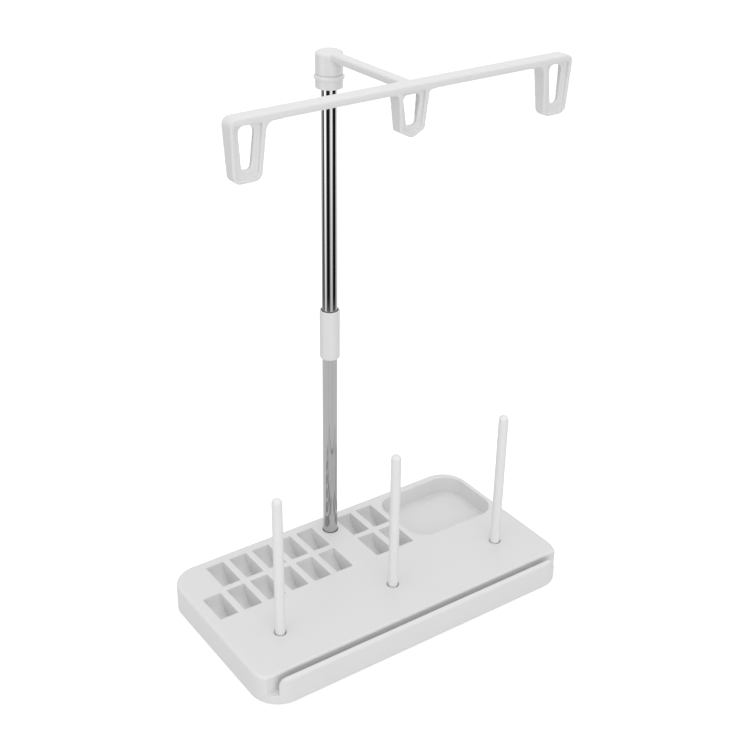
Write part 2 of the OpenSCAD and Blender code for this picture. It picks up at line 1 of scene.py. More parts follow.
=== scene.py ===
# Thread spool stand: a white moulded base with bobbin pockets, three lift-out spool pins, and a
# chromed pole in two tubes with a thread guide that swivels on top. Lengths are in metres.
import math
import bmesh
import bpy
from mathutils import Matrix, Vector


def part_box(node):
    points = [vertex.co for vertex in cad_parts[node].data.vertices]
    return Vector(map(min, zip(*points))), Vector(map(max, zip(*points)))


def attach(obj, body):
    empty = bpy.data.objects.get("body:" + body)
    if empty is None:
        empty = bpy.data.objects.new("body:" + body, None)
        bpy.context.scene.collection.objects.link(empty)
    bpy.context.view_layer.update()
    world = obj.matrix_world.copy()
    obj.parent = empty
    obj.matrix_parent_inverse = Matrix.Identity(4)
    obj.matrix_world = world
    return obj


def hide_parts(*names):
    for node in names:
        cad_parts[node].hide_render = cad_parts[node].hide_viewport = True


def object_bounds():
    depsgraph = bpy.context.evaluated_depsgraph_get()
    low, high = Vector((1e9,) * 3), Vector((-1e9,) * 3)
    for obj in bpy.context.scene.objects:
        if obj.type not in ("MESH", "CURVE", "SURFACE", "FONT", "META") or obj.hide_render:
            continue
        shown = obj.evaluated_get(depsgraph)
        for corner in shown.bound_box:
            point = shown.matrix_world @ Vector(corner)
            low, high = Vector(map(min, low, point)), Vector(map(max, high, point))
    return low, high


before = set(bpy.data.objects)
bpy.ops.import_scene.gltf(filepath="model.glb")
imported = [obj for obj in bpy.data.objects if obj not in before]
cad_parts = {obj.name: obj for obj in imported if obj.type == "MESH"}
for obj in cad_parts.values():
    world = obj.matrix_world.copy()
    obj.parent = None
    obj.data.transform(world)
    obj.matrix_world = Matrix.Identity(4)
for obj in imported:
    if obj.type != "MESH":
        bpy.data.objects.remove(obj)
cad_low, cad_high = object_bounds()
MM = 0.001
scene = bpy.context.scene
scene.view_settings.view_transform = "Standard"

# Studio floor and daylight
# A pale table with soft light from all round. To the camera the floor and the sky are white. In
# polished metal the floor is grey near the stand, with dark and bright strips further out.
WHITE = (1, 1, 1, 1)
FLOOR_REACH = 6.0
FLOOR_COLOUR = (0.80, 0.80, 0.80, 1)
FLOOR_GLOW = 0.52
SKY_LIGHT = 0.614
SKY_SHOWN = 1.0
# How far from the pole the strips start, show in full and reach their full brightness
STRIP_START, STRIP_FULL, STRIP_BRIGHT = 0.28, 0.40, 0.85
STRIP_DIM = 0.5
NEAR_FLOOR_IN_METAL = 0.83
# Bearings run from 0 to 1 round the pole, with the camera's side at 0.5, each with its brightness
STRIPS = [(0.0, 1.3), (0.10, 0.85), (0.17, 0.66), (0.235, 0.05), (0.275, 0.05), (0.31, 2.0),
          (0.35, 2.0), (0.40, 0.015), (0.50, 0.015), (0.56, 1.55), (0.60, 1.55), (0.645, 0.012),
          (0.755, 0.012), (0.80, 1.3)]
CAMERA_TURN = -33.55
# Each lamp's name, its place, the point that it faces, its size and its power
LAMPS = [("top_lamp", (0, 0, 1.6), (0, 0, 0), 1.4, 7.8),
         ("front_lamp", (-0.3, -1.4, 0.5), (0, 0, 0.1), 1.0, 5.1),
         ("left_lamp", (-1.3, -0.2, 0.55), (0, 0, 0.1), 1.0, 2.3)]


def new_material(name):
    """An empty node material, with its nodes, its links and its output node."""
    material = bpy.data.materials.new(name)
    material.use_nodes = True
    nodes = material.node_tree.nodes
    nodes.clear()
    return material, nodes, material.node_tree.links, nodes.new("ShaderNodeOutputMaterial")


def add(nodes, kind, links=None, inputs=(), **settings):
    """A node with its settings. inputs are pairs of a socket and its value, or the output that it
    takes its value from."""
    made = nodes.new(kind)
    for key, value in settings.items():
        setattr(made, key, value)
    for socket, value in inputs:
        if isinstance(value, bpy.types.NodeSocket):
            links.new(value, made.inputs[socket])
        else:
            made.inputs[socket].default_value = value
    return made


def seen_directly(nodes, links):
    """1 for rays from the camera, and for what metal and glass show of the surroundings."""
    path = add(nodes, "ShaderNodeLightPath")
    first = add(nodes, "ShaderNodeMath", links, [(0, path.outputs["Is Camera Ray"]),
                (1, path.outputs["Is Glossy Ray"])], operation="MAXIMUM")
    both = add(nodes, "ShaderNodeMath", links, [(0, first.outputs[0]),
               (1, path.outputs["Is Transmission Ray"])], operation="MAXIMUM")
    return both.outputs[0]


def facing(place, aim):
    """The rotation of a lamp or camera at a place that looks at aim."""
    return (Vector(aim) - Vector(place)).to_track_quat("-Z", "Y").to_euler()


world = bpy.data.worlds.new("studio")
scene.world = world
world.use_nodes = True
sky, sky_links = world.node_tree.nodes, world.node_tree.links
sky.clear()
soft = add(sky, "ShaderNodeBackground", inputs=[("Color", WHITE), ("Strength", SKY_LIGHT)])
white = add(sky, "ShaderNodeBackground", inputs=[("Color", WHITE), ("Strength", SKY_SHOWN)])
sky_mix = add(sky, "ShaderNodeMixShader", sky_links, [(0, seen_directly(sky, sky_links)),
              (1, soft.outputs[0]), (2, white.outputs[0])])
add(sky, "ShaderNodeOutputWorld", sky_links, [("Surface", sky_mix.outputs[0])])

floor_material, nodes, links, out = new_material("floor")
place = add(nodes, "ShaderNodeTexCoord")
pole_axis = (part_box("lower_tube")[0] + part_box("lower_tube")[1]) / 2
from_pole = add(nodes, "ShaderNodeVectorMath", links, [(0, place.outputs["Object"]),
                (1, (pole_axis.x, pole_axis.y, 0))], operation="SUBTRACT")
parts = add(nodes, "ShaderNodeSeparateXYZ", links, [(0, from_pole.outputs[0])])
reach = add(nodes, "ShaderNodeVectorMath", links, [(0, from_pole.outputs[0])], operation="LENGTH")
bearing = add(nodes, "ShaderNodeMath", links, [(0, parts.outputs["X"]), (1, parts.outputs["Y"])],
              operation="ARCTAN2")
turns = add(nodes, "ShaderNodeMath", links, [(0, bearing.outputs[0]), (1, -1 / math.tau),
            (2, -CAMERA_TURN / 360)], operation="MULTIPLY_ADD")
wrapped = add(nodes, "ShaderNodeMath", links, [(0, turns.outputs[0])], operation="FRACT")
strips = add(nodes, "ShaderNodeValToRGB", links, [(0, wrapped.outputs[0])])
for i, (at, level) in enumerate(STRIPS):
    stop = strips.color_ramp.elements[i] if i < 2 else strips.color_ramp.elements.new(at)
    stop.position = at
    stop.color = (level, level, level, 1)
far = add(nodes, "ShaderNodeMapRange", links, [("Value", reach.outputs["Value"]),
          ("From Min", STRIP_START), ("From Max", STRIP_FULL)], interpolation_type="SMOOTHSTEP")
dimmer = add(nodes, "ShaderNodeMapRange", links, [("Value", reach.outputs["Value"]),
             ("From Min", STRIP_START), ("From Max", STRIP_BRIGHT), ("To Min", STRIP_DIM)])
dimmed = add(nodes, "ShaderNodeMath", links, [(0, strips.outputs["Color"]),
             (1, dimmer.outputs["Result"])], operation="MULTIPLY")
in_metal = add(nodes, "ShaderNodeMix", links, [("Factor", far.outputs["Result"]),
               ("A", NEAR_FLOOR_IN_METAL), ("B", dimmed.outputs[0])], data_type="FLOAT")
shown = add(nodes, "ShaderNodeEmission", links, [("Strength", in_metal.outputs["Result"])])
matt = add(nodes, "ShaderNodeBsdfDiffuse", inputs=[("Color", FLOOR_COLOUR)])
glow = add(nodes, "ShaderNodeEmission", inputs=[("Strength", FLOOR_GLOW)])
lit = add(nodes, "ShaderNodeAddShader", links, [(0, matt.outputs[0]), (1, glow.outputs[0])])
path = add(nodes, "ShaderNodeLightPath")
camera_mix = add(nodes, "ShaderNodeMixShader", links, [(0, path.outputs["Is Camera Ray"]),
                 (1, matt.outputs[0]), (2, lit.outputs[0])])
floor_mix = add(nodes, "ShaderNodeMixShader", links, [(0, path.outputs["Is Glossy Ray"]),
                (1, camera_mix.outputs[0]), (2, shown.outputs[0])])
links.new(floor_mix.outputs[0], out.inputs["Surface"])

floor_mesh = bpy.data.meshes.new("floor")
floor_mesh.from_pydata([(x * FLOOR_REACH, y * FLOOR_REACH, 0) for x, y in
                        ((-1, -1), (1, -1), (1, 1), (-1, 1))], [], [(0, 1, 2, 3)])
floor_mesh.materials.append(floor_material)
floor = bpy.data.objects.new("floor", floor_mesh)
scene.collection.objects.link(floor)

for name, place, aim, size, power in LAMPS:
    lamp = bpy.data.lights.new(name, "AREA")
    lamp.shape = "SQUARE"
    lamp.size = size
    lamp.energy = power
    holder = bpy.data.objects.new(name, lamp)
    holder.location = place
    holder.rotation_euler = facing(place, aim)
    holder.visible_glossy = False
    scene.collection.objects.link(holder)

# Camera
# It stands to the left of the front and looks down on the stand.
CAMERA_PLACE = (-0.3704, -0.5185, 0.5016)
CAMERA_AIM = (-0.0265, 0, 0.15714)
CAMERA_ROLL = -0.06
FOCAL_PIXELS = 1272.9
PICTURE_PIXELS = 750
OPTICAL_CENTRE = (333.4, 380.8)
SENSOR_WIDTH = 36

camera_data = bpy.data.cameras.new("camera")
camera_data.sensor_width = SENSOR_WIDTH
camera_data.lens = FOCAL_PIXELS * SENSOR_WIDTH / PICTURE_PIXELS
camera_data.shift_x = 0.5 - OPTICAL_CENTRE[0] / PICTURE_PIXELS
camera_data.shift_y = OPTICAL_CENTRE[1] / PICTURE_PIXELS - 0.5
camera = bpy.data.objects.new("camera", camera_data)
camera.location = CAMERA_PLACE
camera.rotation_euler = facing(CAMERA_PLACE, CAMERA_AIM)
camera.rotation_euler.rotate_axis("Z", math.radians(CAMERA_ROLL))
scene.collection.objects.link(camera)
scene.camera = camera

# Base moulding
# One injection moulding in white semi-gloss plastic, hollow and ribbed below. Its deck has fifteen
# half-round bobbin pockets, a tray, a groove along the front edge, and sockets for the pins and
# the pole.
DECK = 18.3 * MM
# The edges where an opening falls away sharply from the deck
MOUTH_ROUND = 0.35 * MM
MOUTH_STEPS = 3
ROUND_FADE_SHARE = 3
SHARPEST_MITRE = 0.5
# The groove, between the lip in front and its back wall. Both end at the base's round corners.
GROOVE_AREA = -50 * MM
GROOVE_WALL = -52.8 * MM
GROOVE_CUT_FROM = -53.9 * MM
GROOVE_FLOOR = 6.8 * MM
GROOVE_ROUND = 1.6 * MM
WALL_END_ROUND = 2.0 * MM
GROOVE_STEPS = 8
CORNER_X, CORNER_Y = 92 * MM, -42.2 * MM
CORNER_RADIUS = 18 * MM
LIP_END = math.radians(29.8)
LIP_CUT_TURN = math.radians(40)
LIP_CUT_WIDTH = 3.2 * MM
LIP_CUT_START, LIP_CUT_END = -62 * MM, -54 * MM
LIP_CORNER_ALONG, LIP_CORNER_DOWN = 8 * MM, 4.2 * MM
TRAY_X, TRAY_Y = (42.2 * MM, 106.2 * MM), (4.0 * MM, 54.2 * MM)
TRAY_RADIUS = 13 * MM
TRAY_FLOOR = 5.4 * MM
TRAY_FLOOR_ROUND = 1.0 * MM
TRAY_BLOCK_TOP = 12 * MM
TRAY_STEPS = 12
ARC_STEPS = 5
OVERRUN = 1 * MM
SKIN = 0.02 * MM
MERGE = 0.002 * MM
ALONG, BACK, UP = Vector((1, 0, 0)), Vector((0, 1, 0)), Vector((0, 0, 1))
# How far a face's normal points up: at least in the deck, and at most in a wall and an upright one
LEVEL, WALL_LEAN, UPRIGHT_LEAN = 0.999, 0.5, 0.01
SAME_PLANE = math.radians(0.1)
SMOOTH_LIMIT = math.radians(30)
PLASTIC_WHITE = 0.765
FLOW_SHADE = (0.985, 0.985, 0.983)
FLOW_SCALE, FLOW_DETAIL = 28.0, 3.0
PLASTIC_GRAIN_SCALE, PLASTIC_GRAIN_DETAIL = 2600.0, 2.0
PLASTIC_GRAIN_STRENGTH, PLASTIC_GRAIN_DEPTH = 0.05, 0.02 * MM
PLASTIC_ROUGHNESS = (0.30, 0.40)
PLASTIC_IOR = 1.49


def white_plastic(name, light=PLASTIC_WHITE):
    """Semi-gloss moulded plastic: a faint flow pattern, a fine grain and slow waves in the
    gloss."""
    material, nodes, links, out = new_material(name)
    place = add(nodes, "ShaderNodeTexCoord")
    flow = add(nodes, "ShaderNodeTexNoise", links, [("Vector", place.outputs["Object"]),
               ("Scale", FLOW_SCALE), ("Detail", FLOW_DETAIL)])
    tint = add(nodes, "ShaderNodeMixRGB", links, [("Fac", flow.outputs["Fac"]),
               ("Color1", [light * shade for shade in FLOW_SHADE] + [1]),
               ("Color2", (light, light, light, 1))])
    grain = add(nodes, "ShaderNodeTexNoise", links, [("Vector", place.outputs["Object"]),
                ("Scale", PLASTIC_GRAIN_SCALE), ("Detail", PLASTIC_GRAIN_DETAIL)])
    gloss = add(nodes, "ShaderNodeMapRange", links, [("Value", flow.outputs["Fac"]),
                ("To Min", PLASTIC_ROUGHNESS[0]), ("To Max", PLASTIC_ROUGHNESS[1])])
    bump = add(nodes, "ShaderNodeBump", links, [("Height", grain.outputs["Fac"]),
               ("Strength", PLASTIC_GRAIN_STRENGTH), ("Distance", PLASTIC_GRAIN_DEPTH)])
    shader = add(nodes, "ShaderNodeBsdfPrincipled", links, [("Base Color", tint.outputs["Color"]),
                 ("Roughness", gloss.outputs["Result"]), ("Normal", bump.outputs["Normal"]),
                 ("IOR", PLASTIC_IOR)])
    links.new(shader.outputs[0], out.inputs["Surface"])
    return material


def merged_copy(node):
    """A copy of a construction solid's mesh, with its loose triangles joined."""
    bm = bmesh.new()
    bm.from_mesh(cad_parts[node].data)
    bmesh.ops.remove_doubles(bm, verts=bm.verts, dist=MERGE)
    return bm


def new_piece(name, bm, material):
    """An object at the origin that holds the mesh, shaded smooth up to its sharp edges."""
    bm.normal_update()
    for face in bm.faces:
        face.smooth = True
    for edge in bm.edges:
        edge.smooth = edge.calc_face_angle(0) < SMOOTH_LIMIT
    mesh = bpy.data.meshes.new(name)
    bm.to_mesh(mesh)
    bm.free()
    mesh.materials.append(material)
    piece = bpy.data.objects.new(name, mesh)
    scene.collection.objects.link(piece)
    return piece


def finish_piece(piece, body, slot, *nodes):
    """Evens the shading beside long faces, applies the piece's modifiers and hands it over as the
    stand-in for its nodes."""
    even = piece.modifiers.new("even_shading", "WEIGHTED_NORMAL")
    even.keep_sharp = True
    view = bpy.context.evaluated_depsgraph_get()
    mesh = bpy.data.meshes.new_from_object(piece.evaluated_get(view))
    piece.modifiers.clear()
    piece.data = mesh
    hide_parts(*nodes)
    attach(piece, body)


def sharp_mouth(edge):
    """Whether a wall falls away at this open edge of the deck. The groove is left out, because its
    rounds are larger."""
    return abs(edge.link_faces[0].normal.z) < WALL_LEAN and edge.verts[0].co.y > GROOVE_AREA


def deck_direction(edge):
    """The direction in plan from an open edge of the deck towards the deck."""
    along = edge.verts[1].co - edge.verts[0].co
    across = Vector((along.y, -along.x, 0)).normalized()
    wall = edge.link_faces[0]
    away = -wall.normal if sharp_mouth(edge) else edge.verts[0].co - wall.calc_center_median()
    return across if across.dot(away) > 0 else -across


def mouth_offset(edges):
    """Where the deck starts, seen from the point where two edges of a mouth meet, so that both
    have the same round."""
    one, two = (deck_direction(edge) for edge in edges)
    middle = (one + two).normalized()
    return middle * MOUTH_ROUND / max(middle.dot(one), SHARPEST_MITRE)


def round_mouths(bm):
    """Joins the triangles of flat walls, rounds the edges where the deck's openings are sharp, and
    fills the deck again. Where a sharp edge meets a soft one, its round fades out."""
    deck = [f for f in bm.faces if f.normal.z > LEVEL
            and all(abs(v.co.z - DECK) < MERGE for v in f.verts)]
    bmesh.ops.delete(bm, geom=deck, context="FACES")
    walls = [e for e in bm.edges if len(e.link_faces) == 2
             and all(abs(f.normal.z) < UPRIGHT_LEAN for f in e.link_faces)]
    bmesh.ops.dissolve_limit(bm, angle_limit=SAME_PLANE, edges=walls)
    fade = MOUTH_ROUND * ROUND_FADE_SHARE
    for edge in [e for e in bm.edges if e.is_boundary and sharp_mouth(e)]:
        for vert in edge.verts:
            rest = [e for e in vert.link_edges if e.is_boundary and not sharp_mouth(e)]
            if rest and edge.calc_length() > 2 * fade:
                bmesh.utils.edge_split(edge, vert, fade / edge.calc_length())
    rim = [e for e in bm.edges if e.is_boundary]
    turns = [math.pi / 2 * i / MOUTH_STEPS for i in range(1, MOUTH_STEPS + 1)]
    rings = {}
    for vert in dict.fromkeys(v for e in rim for v in e.verts):
        open_edges = [e for e in vert.link_edges if e.is_boundary]
        if all(sharp_mouth(e) for e in open_edges):
            step = mouth_offset(open_edges)
            rings[vert] = [vert] + [bm.verts.new(vert.co + step * (1 - math.cos(t))
                           - Vector((0, 0, MOUTH_ROUND * (1 - math.sin(t))))) for t in turns]
        else:
            rings[vert] = [vert] * (MOUTH_STEPS + 1)
    for vert, ring in rings.items():
        if ring[-1] is not vert:
            vert.co.z -= MOUTH_ROUND
    edges = []
    for edge in rim:
        a, b = (rings[v] for v in edge.verts)
        for i in range(MOUTH_STEPS):
            corners = list(dict.fromkeys([a[i], b[i], b[i + 1], a[i + 1]]))
            if len(corners) > 2:
                bm.faces.new(corners)
        edges.append(bm.edges.get((a[-1], b[-1])))
    bmesh.ops.triangle_fill(bm, use_beauty=True, edges=edges, normal=(0, 0, 1))
    bmesh.ops.recalc_face_normals(bm, faces=bm.faces)


def arc(r, z, radius, start, end, steps=ARC_STEPS):
    """Points on an arc about r, z, from start to end in degrees."""
    turns = [math.radians(start + (end - start) * i / steps) for i in range(steps + 1)]
    return [(r + radius * math.cos(t), z + radius * math.sin(t)) for t in turns]


def add_bar(bm, section, along, across, start, end, up=UP):
    """A bar from start to end in the direction along. Each point of its section is a pair of
    distances in the directions across and up."""
    ends = [[bm.verts.new(along * at + across * out + up * high) for out, high in section]
            for at in (start, end)]
    faces = [bm.faces.new(end) for end in ends]
    for i in range(len(section)):
        faces.append(bm.faces.new((ends[0][i - 1], ends[0][i], ends[1][i], ends[1][i - 1])))
    bmesh.ops.recalc_face_normals(bm, faces=faces)


def add_wall_edge_waste(bm):
    """What the round on the long upper edge of the groove's back wall takes away."""
    y, z = GROOVE_WALL + GROOVE_ROUND, DECK - GROOVE_ROUND
    section = arc(y, z, GROOVE_ROUND, 90, 180, GROOVE_STEPS)
    section += [(GROOVE_WALL, GROOVE_FLOOR), (GROOVE_CUT_FROM, GROOVE_FLOOR),
                (GROOVE_CUT_FROM, DECK + OVERRUN), (y, DECK + OVERRUN)]
    add_bar(bm, section, ALONG, BACK, -cad_high.x - OVERRUN, cad_high.x + OVERRUN)


def add_lip_end_waste(bm, side):
    """What the oblique cut and the round upper corner at one end of the lip take away."""
    lean = math.tan(LIP_CUT_TURN)
    foot = (lean * (CORNER_RADIUS * math.cos(LIP_END) - CORNER_Y)
            - CORNER_X - CORNER_RADIUS * math.sin(LIP_END))
    turns = [math.pi / 2 * i / GROOVE_STEPS for i in range(GROOVE_STEPS + 1)]
    section = [(foot + LIP_CORNER_ALONG * (1 - math.cos(t)),
                DECK - LIP_CORNER_DOWN * (1 - math.sin(t))) for t in turns]
    section += [(foot + LIP_CORNER_ALONG, DECK + OVERRUN),
                (foot - LIP_CUT_WIDTH, DECK + OVERRUN),
                (foot - LIP_CUT_WIDTH, GROOVE_FLOOR), (foot, GROOVE_FLOOR)]
    add_bar(bm, section, BACK - ALONG * side * lean, ALONG * -side, LIP_CUT_START, LIP_CUT_END)


def wall_end_waste(side):
    """What the upright round at one end of the groove's back wall takes away."""
    middle_y = GROOVE_WALL + WALL_END_ROUND
    inner = CORNER_RADIUS - WALL_END_ROUND
    turn = math.asin((CORNER_Y - middle_y) / inner)
    middle_x = CORNER_X + inner * math.cos(turn)
    plan = arc(middle_x, middle_y, WALL_END_ROUND, -90, -math.degrees(turn), GROOVE_STEPS)
    outer = Vector(plan[-1]) + Vector((math.cos(turn), -math.sin(turn))) * OVERRUN
    plan += [outer, (outer.x, GROOVE_CUT_FROM), (middle_x, GROOVE_CUT_FROM)]
    bm = bmesh.new()
    add_bar(bm, plan, UP, ALONG * side, GROOVE_FLOOR, DECK + OVERRUN, BACK)
    return bm


def add_tray_waste(bm):
    """What clears the tray's floor edge out to the walls, but for a small round at the floor."""
    profile = [(SKIN, TRAY_BLOCK_TOP)]
    profile += arc(SKIN + TRAY_FLOOR_ROUND, TRAY_FLOOR - SKIN + TRAY_FLOOR_ROUND,
                   TRAY_FLOOR_ROUND, 180, 270)
    left, right = TRAY_X[0] + TRAY_RADIUS, TRAY_X[1] - TRAY_RADIUS
    front, back = TRAY_Y[0] + TRAY_RADIUS, TRAY_Y[1] - TRAY_RADIUS
    middles = ((right, back), (left, back), (left, front), (right, front))
    rings = []
    for inset, z in profile:
        plan = []
        for turn, (x, y) in enumerate(middles):
            plan += arc(x, y, TRAY_RADIUS - inset, 90 * turn, 90 * turn + 90, TRAY_STEPS)
        rings.append([bm.verts.new((x, y, z)) for x, y in plan])
    faces = [bm.faces.new(rings[0]), bm.faces.new(rings[-1])]
    for one, two in zip(rings, rings[1:]):
        faces += [bm.faces.new((one[i - 1], one[i], two[i], two[i - 1])) for i in range(len(one))]
    bmesh.ops.recalc_face_normals(bm, faces=faces)


def cut_away(bm, waste):
    """The first mesh's solid without what the second one covers."""
    whole, cutter = (new_piece(name, solid, base_plastic)
                     for name, solid in (("whole", bm), ("cutter", waste)))
    cut = whole.modifiers.new("cut", "BOOLEAN")
    cut.operation = "DIFFERENCE"
    cut.solver = "EXACT"
    cut.object = cutter
    rest = bmesh.new()
    rest.from_object(whole, bpy.context.evaluated_depsgraph_get())
    for spare in (whole, cutter):
        bpy.data.objects.remove(spare)
    return rest


base_plastic = white_plastic("base_plastic")
bm = merged_copy("base")
round_mouths(bm)
waste = bmesh.new()
add_wall_edge_waste(waste)
for side in (-1, 1):
    add_lip_end_waste(waste, side)
add_tray_waste(waste)
bm = cut_away(bm, waste)
for side in (-1, 1):
    bm = cut_away(bm, wall_end_waste(side))
base = new_piece("base_moulding", bm, base_plastic)
finish_piece(base, "base", "white_plastic", "base")

# Rubber feet
# Four round pads in matt grey rubber, pressed into the cups at the base's corners. Each has a
# round lower edge and a shallow hollow in its tread.
FOOT_HEIGHT = 2.8 * MM
FOOT_RADIUS = 6.5 * MM
FOOT_ROUND = 0.4 * MM
TREAD_RADIUS = 4.6 * MM
TREAD_DEPTH = 0.25 * MM
FOOT_SPACING = (180 * MM, 80.4 * MM)
TURNED_STEPS = 64
RUBBER_DARK = (0.045, 0.045, 0.047, 1)
RUBBER_DUSTY = (0.075, 0.074, 0.072, 1)
DUST_SCALE, DUST_DETAIL = 420.0, 4.0
RUBBER_GRAIN_SCALE = 2200.0
RUBBER_GRAIN_STRENGTH, RUBBER_GRAIN_DEPTH = 0.3, 0.06 * MM
RUBBER_ROUGHNESS = (0.62, 0.85)


def turned(profile, x=0.0, y=0.0, closed=False):
    """A round mesh about a vertical axis. The profile's points are radius and height, from the
    axis below, up the outside and back to the axis, or all round the section of a closed one."""
    bm = bmesh.new()
    rings = []
    for r, z in profile:
        if r == 0:
            rings.append([bm.verts.new((x, y, z))] * TURNED_STEPS)
        else:
            rings.append([bm.verts.new((x + r * math.cos(math.tau * i / TURNED_STEPS),
                         y + r * math.sin(math.tau * i / TURNED_STEPS), z))
                         for i in range(TURNED_STEPS)])
    for one, two in zip(rings, rings[1:] + rings[:1] if closed else rings[1:]):
        for i in range(TURNED_STEPS):
            j = (i + 1) % TURNED_STEPS
            corners = list(dict.fromkeys([one[i], one[j], two[j], two[i]]))
            if len(corners) > 2:
                bm.faces.new(corners)
    bmesh.ops.recalc_face_normals(bm, faces=bm.faces)
    return bm


def rubber(name):
    """Matt rubber: dusty patches, which are rougher and paler, and a fine pebbled grain."""
    material, nodes, links, out = new_material(name)
    place = add(nodes, "ShaderNodeTexCoord")
    dust = add(nodes, "ShaderNodeTexNoise", links, [("Vector", place.outputs["Object"]),
               ("Scale", DUST_SCALE), ("Detail", DUST_DETAIL)])
    tint = add(nodes, "ShaderNodeMixRGB", links, [("Fac", dust.outputs["Fac"]),
               ("Color1", RUBBER_DARK), ("Color2", RUBBER_DUSTY)])
    grain = add(nodes, "ShaderNodeTexVoronoi", links, [("Vector", place.outputs["Object"]),
                ("Scale", RUBBER_GRAIN_SCALE)])
    bump = add(nodes, "ShaderNodeBump", links, [("Height", grain.outputs["Distance"]),
               ("Strength", RUBBER_GRAIN_STRENGTH), ("Distance", RUBBER_GRAIN_DEPTH)])
    worn = add(nodes, "ShaderNodeMapRange", links, [("Value", dust.outputs["Fac"]),
               ("To Min", RUBBER_ROUGHNESS[0]), ("To Max", RUBBER_ROUGHNESS[1])])
    shader = add(nodes, "ShaderNodeBsdfPrincipled", links, [("Base Color", tint.outputs["Color"]),
                 ("Roughness", worn.outputs["Result"]), ("Normal", bump.outputs["Normal"])])
    links.new(shader.outputs[0], out.inputs["Surface"])
    return material


foot_rubber = rubber("foot_rubber")
profile = [(0, TREAD_DEPTH), (TREAD_RADIUS, TREAD_DEPTH), (TREAD_RADIUS + TREAD_DEPTH, 0)]
profile += arc(FOOT_RADIUS - FOOT_ROUND, FOOT_ROUND, FOOT_ROUND, -90, 0)
profile += [(FOOT_RADIUS, FOOT_HEIGHT), (0, FOOT_HEIGHT)]
one_foot = new_piece("one_foot", turned(profile), foot_rubber)

tree = bpy.data.node_groups.new("four_feet", "GeometryNodeTree")
tree.interface.new_socket("Geometry", in_out="OUTPUT", socket_type="NodeSocketGeometry")
foot_input, length_input, width_input, rubber_input = (
    tree.interface.new_socket(name, in_out="INPUT", socket_type="NodeSocket" + kind)
    for name, kind in (("Foot", "Object"), ("Along the base", "Float"),
                       ("Across the base", "Float"), ("Rubber", "Material")))
nodes, links = tree.nodes, tree.links
given = add(nodes, "NodeGroupInput")
corners = add(nodes, "GeometryNodeMeshGrid", links, [("Size X", given.outputs["Along the base"]),
              ("Size Y", given.outputs["Across the base"]), ("Vertices X", 2), ("Vertices Y", 2)])
foot = add(nodes, "GeometryNodeObjectInfo", links, [("Object", given.outputs["Foot"])])
copies = add(nodes, "GeometryNodeInstanceOnPoints", links, [("Points", corners.outputs["Mesh"]),
             ("Instance", foot.outputs["Geometry"])])
real = add(nodes, "GeometryNodeRealizeInstances", links,
           [("Geometry", copies.outputs["Instances"])])
painted = add(nodes, "GeometryNodeSetMaterial", links, [("Geometry", real.outputs["Geometry"]),
              ("Material", given.outputs["Rubber"])])
add(nodes, "NodeGroupOutput", links, [("Geometry", painted.outputs["Geometry"])])

feet = bpy.data.objects.new("rubber_feet", bpy.data.meshes.new("rubber_feet"))
scene.collection.objects.link(feet)
placing = feet.modifiers.new("four_feet", "NODES")
placing.node_group = tree
placing[foot_input.identifier] = one_foot
placing[length_input.identifier] = FOOT_SPACING[0]
placing[width_input.identifier] = FOOT_SPACING[1]
placing[rubber_input.identifier] = foot_rubber
finish_piece(feet, "base", "foot_rubber",
             "foot_front_left", "foot_front_right", "foot_back_left", "foot_back_right")
bpy.data.objects.remove(one_foot)

# Spool pins
# Three straight pins in white plastic with round tops. Each stands in its socket on a thinner
# tenon with a bevelled foot, and lifts out.
PIN_RADIUS = 3.0 * MM
PIN_HEIGHT = 92.7 * MM
PIN_TOP_STEPS = 12
TENON_RADIUS = 2.8 * MM
TENON_LENGTH = 12 * MM
TENON_BEVEL = 0.6 * MM
SHOULDER_ROUND = 0.15 * MM
SMALL_ROUND_STEPS = 3
PIN_Y = -23.5 * MM
PIN_X = {"left": -79.1 * MM, "middle": 1.2 * MM, "right": 81.5 * MM}
PIN_WHITE = 0.82

pin_plastic = white_plastic("pin_plastic", PIN_WHITE)
tenon_foot = DECK - TENON_LENGTH
pin_top = DECK + PIN_HEIGHT
profile = [(0, tenon_foot), (TENON_RADIUS - TENON_BEVEL, tenon_foot),
           (TENON_RADIUS, tenon_foot + TENON_BEVEL), (TENON_RADIUS, DECK)]
profile += arc(PIN_RADIUS - SHOULDER_ROUND, DECK + SHOULDER_ROUND, SHOULDER_ROUND, -90, 0,
               SMALL_ROUND_STEPS)
profile += arc(0, pin_top - PIN_RADIUS, PIN_RADIUS, 0, 90, PIN_TOP_STEPS)[:-1] + [(0, pin_top)]
for side, pin_x in PIN_X.items():
    pin = new_piece("spool_pin_on_the_" + side, turned(profile, pin_x, PIN_Y), pin_plastic)
    finish_piece(pin, "pin_" + side, "white_plastic", "spool_pin_" + side)

# Pole tubes
# Two tubes of chrome-plated steel with open ends. The lower one stands in the base's socket, and
# the upper one in the coupler.
TUBE_RADIUS = 4.55 * MM
TUBE_WALL = 0.8 * MM
TUBE_END_ROUND = 0.2 * MM
POLE_X, POLE_Y = 1.2 * MM, 45.6 * MM
CHROME_DARK = (0.52, 0.52, 0.53, 1)
CHROME_PALE = (0.55, 0.55, 0.55, 1)
DRAWN_STRETCH = (1.0, 1.0, 0.02)
DRAWN_SCALE, DRAWN_DETAIL = 1500.0, 3.0
DRAWN_STRENGTH, DRAWN_DEPTH = 0.04, 0.01 * MM
WAVE_SCALE, WAVE_DETAIL = 60.0, 2.0
CHROME_ROUGHNESS = (0.05, 0.09)


